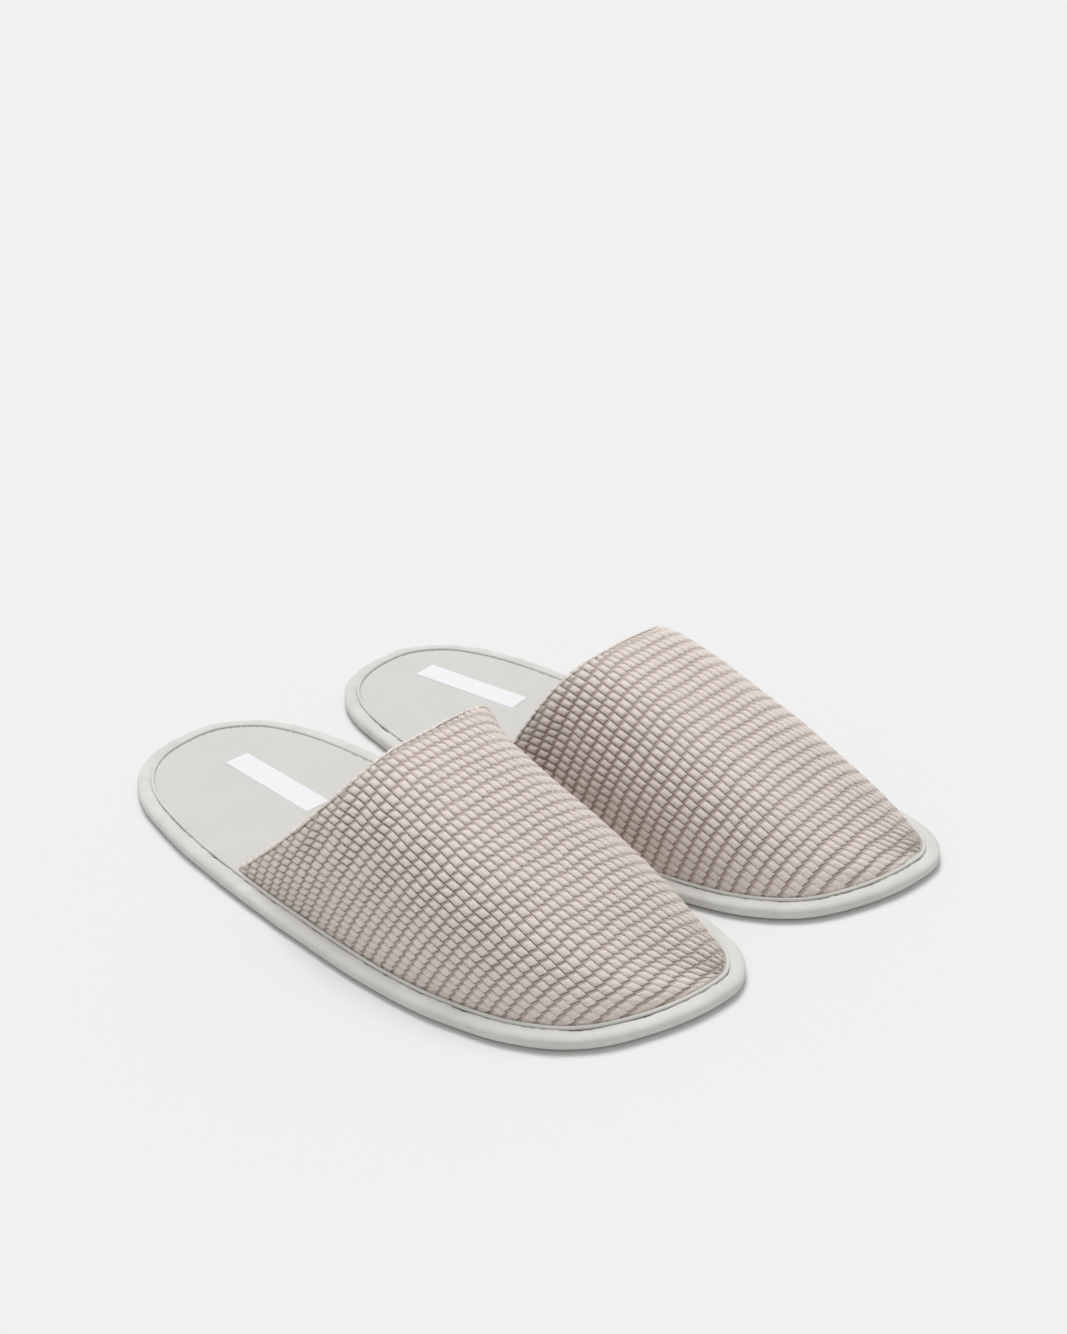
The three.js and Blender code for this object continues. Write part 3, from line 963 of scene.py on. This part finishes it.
def knit_material():
    """Speckled yarn, with the gaps round the cells darkened as painted shade, less so at the mouth
    and, as painted light, at the upward-facing crown.
    """
    m = Shader("waffle_knit", 0.95, 0.25)
    fabric = m.attribute("fabric").outputs["Vector"]
    tint = m.attribute("tint").outputs["Fac"]
    pale = m.attribute("pale").outputs["Fac"]
    speckle = m.noise(1.9, 3.0, fabric, 0.7)
    patch = m.noise(0.03, 2.0, fabric)
    top = m.mix(m.spread(speckle, 0.34, 0.66), *map(linear, YARN_TONES))
    top = m.mix(m.spread(patch, 0.3, 0.7, 0, 0.5), top, linear(PATCH_TONE))
    top = m.mix(m.spread(tint, -1, 1, 0, 0.3), top, linear(CELL_TONE))
    # paler towards the mouth, and painted light on the upward-facing crown
    top = m.mix(m.math("MULTIPLY", pale, 0.7), top, linear(PALE_TONE))

    # the same cells as the relief: u and v within one cell, a little uneven
    cell = m.add("ShaderNodeSeparateXYZ")
    m.join(m.attribute("cells").outputs["Vector"], cell.inputs[0])
    centred = m.math("SUBTRACT", m.noise(1.1, 2.0, fabric), 0.5)
    uneven = m.math("MULTIPLY", centred, 0.16)
    u, v = (m.math("FRACT", m.math("ADD", cell.outputs[i], uneven)) for i in (0, 1))
    across = m.math("ABSOLUTE", m.math("SUBTRACT", m.math("MULTIPLY", u, 2.0), 1.0))
    before = m.spread(v, BAND_START - 0.04, BAND_START + 0.02)
    band = m.math("MAXIMUM", before, m.spread(v, 0.02, 0.1, 1, 0))
    off_band = m.math("SUBTRACT", 1.0, m.math("MULTIPLY", band, 0.65))
    # painted shade in the gaps between columns and a painted shadow under each pillow's toeward
    # end, both fainter where the knit is pale
    gap = m.math("MULTIPLY", m.spread(across, 0.8, 0.96), off_band)
    under = m.math("MULTIPLY", m.spread(v, PILLOW_END, PILLOW_END + 0.03),
                   m.spread(v, BAND_START - 0.02, BAND_START + 0.02, 1, 0))
    under = m.math("MULTIPLY", under, m.spread(across, 0.5, 1.0, 0.85, 0.4))
    painted_shade = m.math("MULTIPLY", m.math("MAXIMUM", gap, under), m.spread(pale, 0.0, 1.0, 0.95, 0.15))
    not_pale = m.math("SUBTRACT", 1.0, m.math("MULTIPLY", pale, 0.6))
    # painted shade on the recessed band between the pillows of a column, fainter where the knit is
    # pale
    ground = m.mix(m.math("MULTIPLY", band, not_pale), top, linear(BAND_SHADE_TONE))
    m.colour(m.mix(painted_shade, ground, linear(GAP_SHADE_TONE)))

    parts = m.add("ShaderNodeSeparateXYZ")
    m.join(fabric, parts.inputs[0])
    wander = m.math("MULTIPLY", m.noise(0.9, 2.0, fabric), 5.0)
    rib = ribs(m, parts.outputs[1], 0.62, wander)
    loops = ribs(m, parts.outputs[0], 0.7, wander)
    yarn = m.math("ADD", m.math("MULTIPLY", rib, 0.4), m.math("MULTIPLY", loops, 0.3))
    m.bump(m.math("ADD", yarn, m.math("MULTIPLY", speckle, 2.2)), 0.00013)
    return m.material


def cotton(name, tones, pitch, distance):
    """Fine plain-woven cloth, slightly clouded, fuzzy and slubbed."""
    m = Shader(name, 0.9, 0.15)
    m.colour(m.mix(m.spread(m.noise(70, 3.0), 0.35, 0.65), *map(linear, tones)))
    weave = m.math("MULTIPLY", woven(m, pitch), 0.35)
    fuzz = m.math("MULTIPLY", m.noise(1500, 2.0), 0.8)
    slub = m.math("MULTIPLY", m.noise(160, 3.0), 1.2)
    m.bump(m.math("ADD", weave, m.math("ADD", fuzz, slub)), distance)
    return m.material


def foam_material(name, tone):
    """Fine-grained foam."""
    m = Shader(name, 0.9)
    m.colour(linear(tone))
    m.bump(m.noise(900, 2.0), 0.0001)
    return m.material


def sole_material():
    """Foam rubber with a fine dotted grain."""
    m = Shader("sole_rubber", 0.75)
    m.colour(linear(RUBBER_TONE))
    dots = m.add("ShaderNodeTexVoronoi")
    dots.inputs["Scale"].default_value = 260
    dots.inputs["Randomness"].default_value = 0.0
    m.join(m.add("ShaderNodeTexCoord").outputs["Object"], dots.inputs["Vector"])
    m.bump(m.spread(dots.outputs["Distance"], 0.25, 0.4, 1, 0), 0.0003)
    return m.material


def label_material():
    """Smooth woven tape."""
    m = Shader("woven_label", 0.6, 0.1)
    fabric = m.attribute("fabric").outputs["Vector"]
    cloud = m.spread(m.noise(1.2, 2.0, fabric), 0.3, 0.7)
    m.colour(m.mix(cloud, *map(linear, LABEL_TONES)))
    m.bump(woven(m, 0.35, fabric), 0.00004)
    return m.material


# ---------------------------------------------------------------- build

knit = knit_material()
cover = cotton("cover_cotton", COVER_TONES, 0.55, 0.00009)
sock_cloth = cotton("sock_cotton", SOCK_TONES, 0.4, 0.00003)
lining_cloth = cotton("lining_cotton", LINING_TONES, 0.45, 0.00005)
soft_foam = foam_material("soft_foam", SOFT_FOAM_TONE)
eva = foam_material("eva_foam", EVA_TONE)
rubber = sole_material()
woven_label = label_material()

for side in SLIPPERS:
    front, heel = f"{side}_front", f"{side}_heel"

    def flex(piece):
        start, end = to_frame(side, [(0, FLEX_FROM, 0), (0, FLEX_TO, 0)])
        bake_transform(piece)

    def both(piece, *kinds):
        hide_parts(*[f"{side}_{kind}_{end}" for kind in kinds for end in ("front", "heel")])

    roll = cover_roll(side, cover)
    flex(roll)
    both(roll, "rand")

    cord = piping(side, cover)
    flex(cord)
    both(cord, "piping")

    base = outsole(side, rubber)
    flex(base)
    both(base, "outsole")

    foam = core(side, eva)
    flex(foam)
    both(foam, "midsole", "insole")

    tag = label(side, woven_label)
    flex(tag)
    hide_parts(f"{side}_label")

    bed = sock(side, sock_cloth)
    flex(bed)
    both(bed, "sock")

    upper = knit_upper(side, knit)
    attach(upper, front)
    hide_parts(f"{side}_upper_knit", f"{side}_hem")

    wadding = inner_layer(
        f"{side}_wadding", side, WADDING_DEPTH, WADDING_DEPTH + WADDING_T, HEM_WIDTH, soft_foam)
    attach(wadding, front)
    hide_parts(f"{side}_upper_wadding")

    lining = inner_layer(
        f"{side}_lining", side, LINING_DEPTH, INNER_DEPTH, HEM_WIDTH - 1, lining_cloth)
    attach(lining, front)
    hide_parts(f"{side}_upper_lining")

# ---------------------------------------------------------------- floor, light and camera

scene = bpy.context.scene
scene.view_settings.view_transform = "Standard"

floor_data = bpy.data.meshes.new("floor")
corners = [(x * FLOOR_REACH, y * FLOOR_REACH, 0) for x, y in ((-1, -1), (1, -1), (1, 1), (-1, 1))]
floor_data.from_pydata(corners, [], [(0, 1, 2, 3)])
floor = bpy.data.objects.new("floor", floor_data)
scene.collection.objects.link(floor)
paper = Shader("floor", 1.0)
paper.skin.inputs["Specular IOR Level"].default_value = 0.0
paper.colour(FLOOR_GREY)
floor_data.materials.append(paper.material)

world = bpy.data.worlds.new("studio")
world.use_nodes = True
sky = world.node_tree.nodes["Background"]
sky.inputs[0].default_value = (1, 1, 1, 1)
sky.inputs[1].default_value = WORLD_STRENGTH
scene.world = world

azimuth, elevation = math.radians(CAMERA_AZIMUTH), math.radians(CAMERA_ELEVATION)
level = math.cos(elevation)
back = Vector((math.sin(azimuth) * level, -math.cos(azimuth) * level, math.sin(elevation)))
camera_data = bpy.data.cameras.new("camera")
camera_data.lens = LENS
camera_data.sensor_width = SENSOR
camera_data.clip_end = 50
camera = bpy.data.objects.new("camera", camera_data)
camera.location = CAMERA_PLACE
camera.rotation_mode = "QUATERNION"
camera.rotation_quaternion = (-back).to_track_quat("-Z", "Y")
scene.collection.objects.link(camera)
scene.camera = camera

sun_data = bpy.data.lights.new("key", "SUN")
sun_data.energy = SUN_STRENGTH
sun_data.angle = math.radians(SUN_ANGLE)
sun = bpy.data.objects.new("key", sun_data)
right = Vector((math.cos(azimuth), math.sin(azimuth), 0))
away = Vector((-back.x, -back.y, 0)).normalized()
towards = (right * SUN_RIGHT + away * SUN_AWAY + Vector((0, 0, 1))).normalized()
sun.rotation_mode = "QUATERNION"
sun.rotation_quaternion = towards.to_track_quat("Z", "Y")
scene.collection.objects.link(sun)
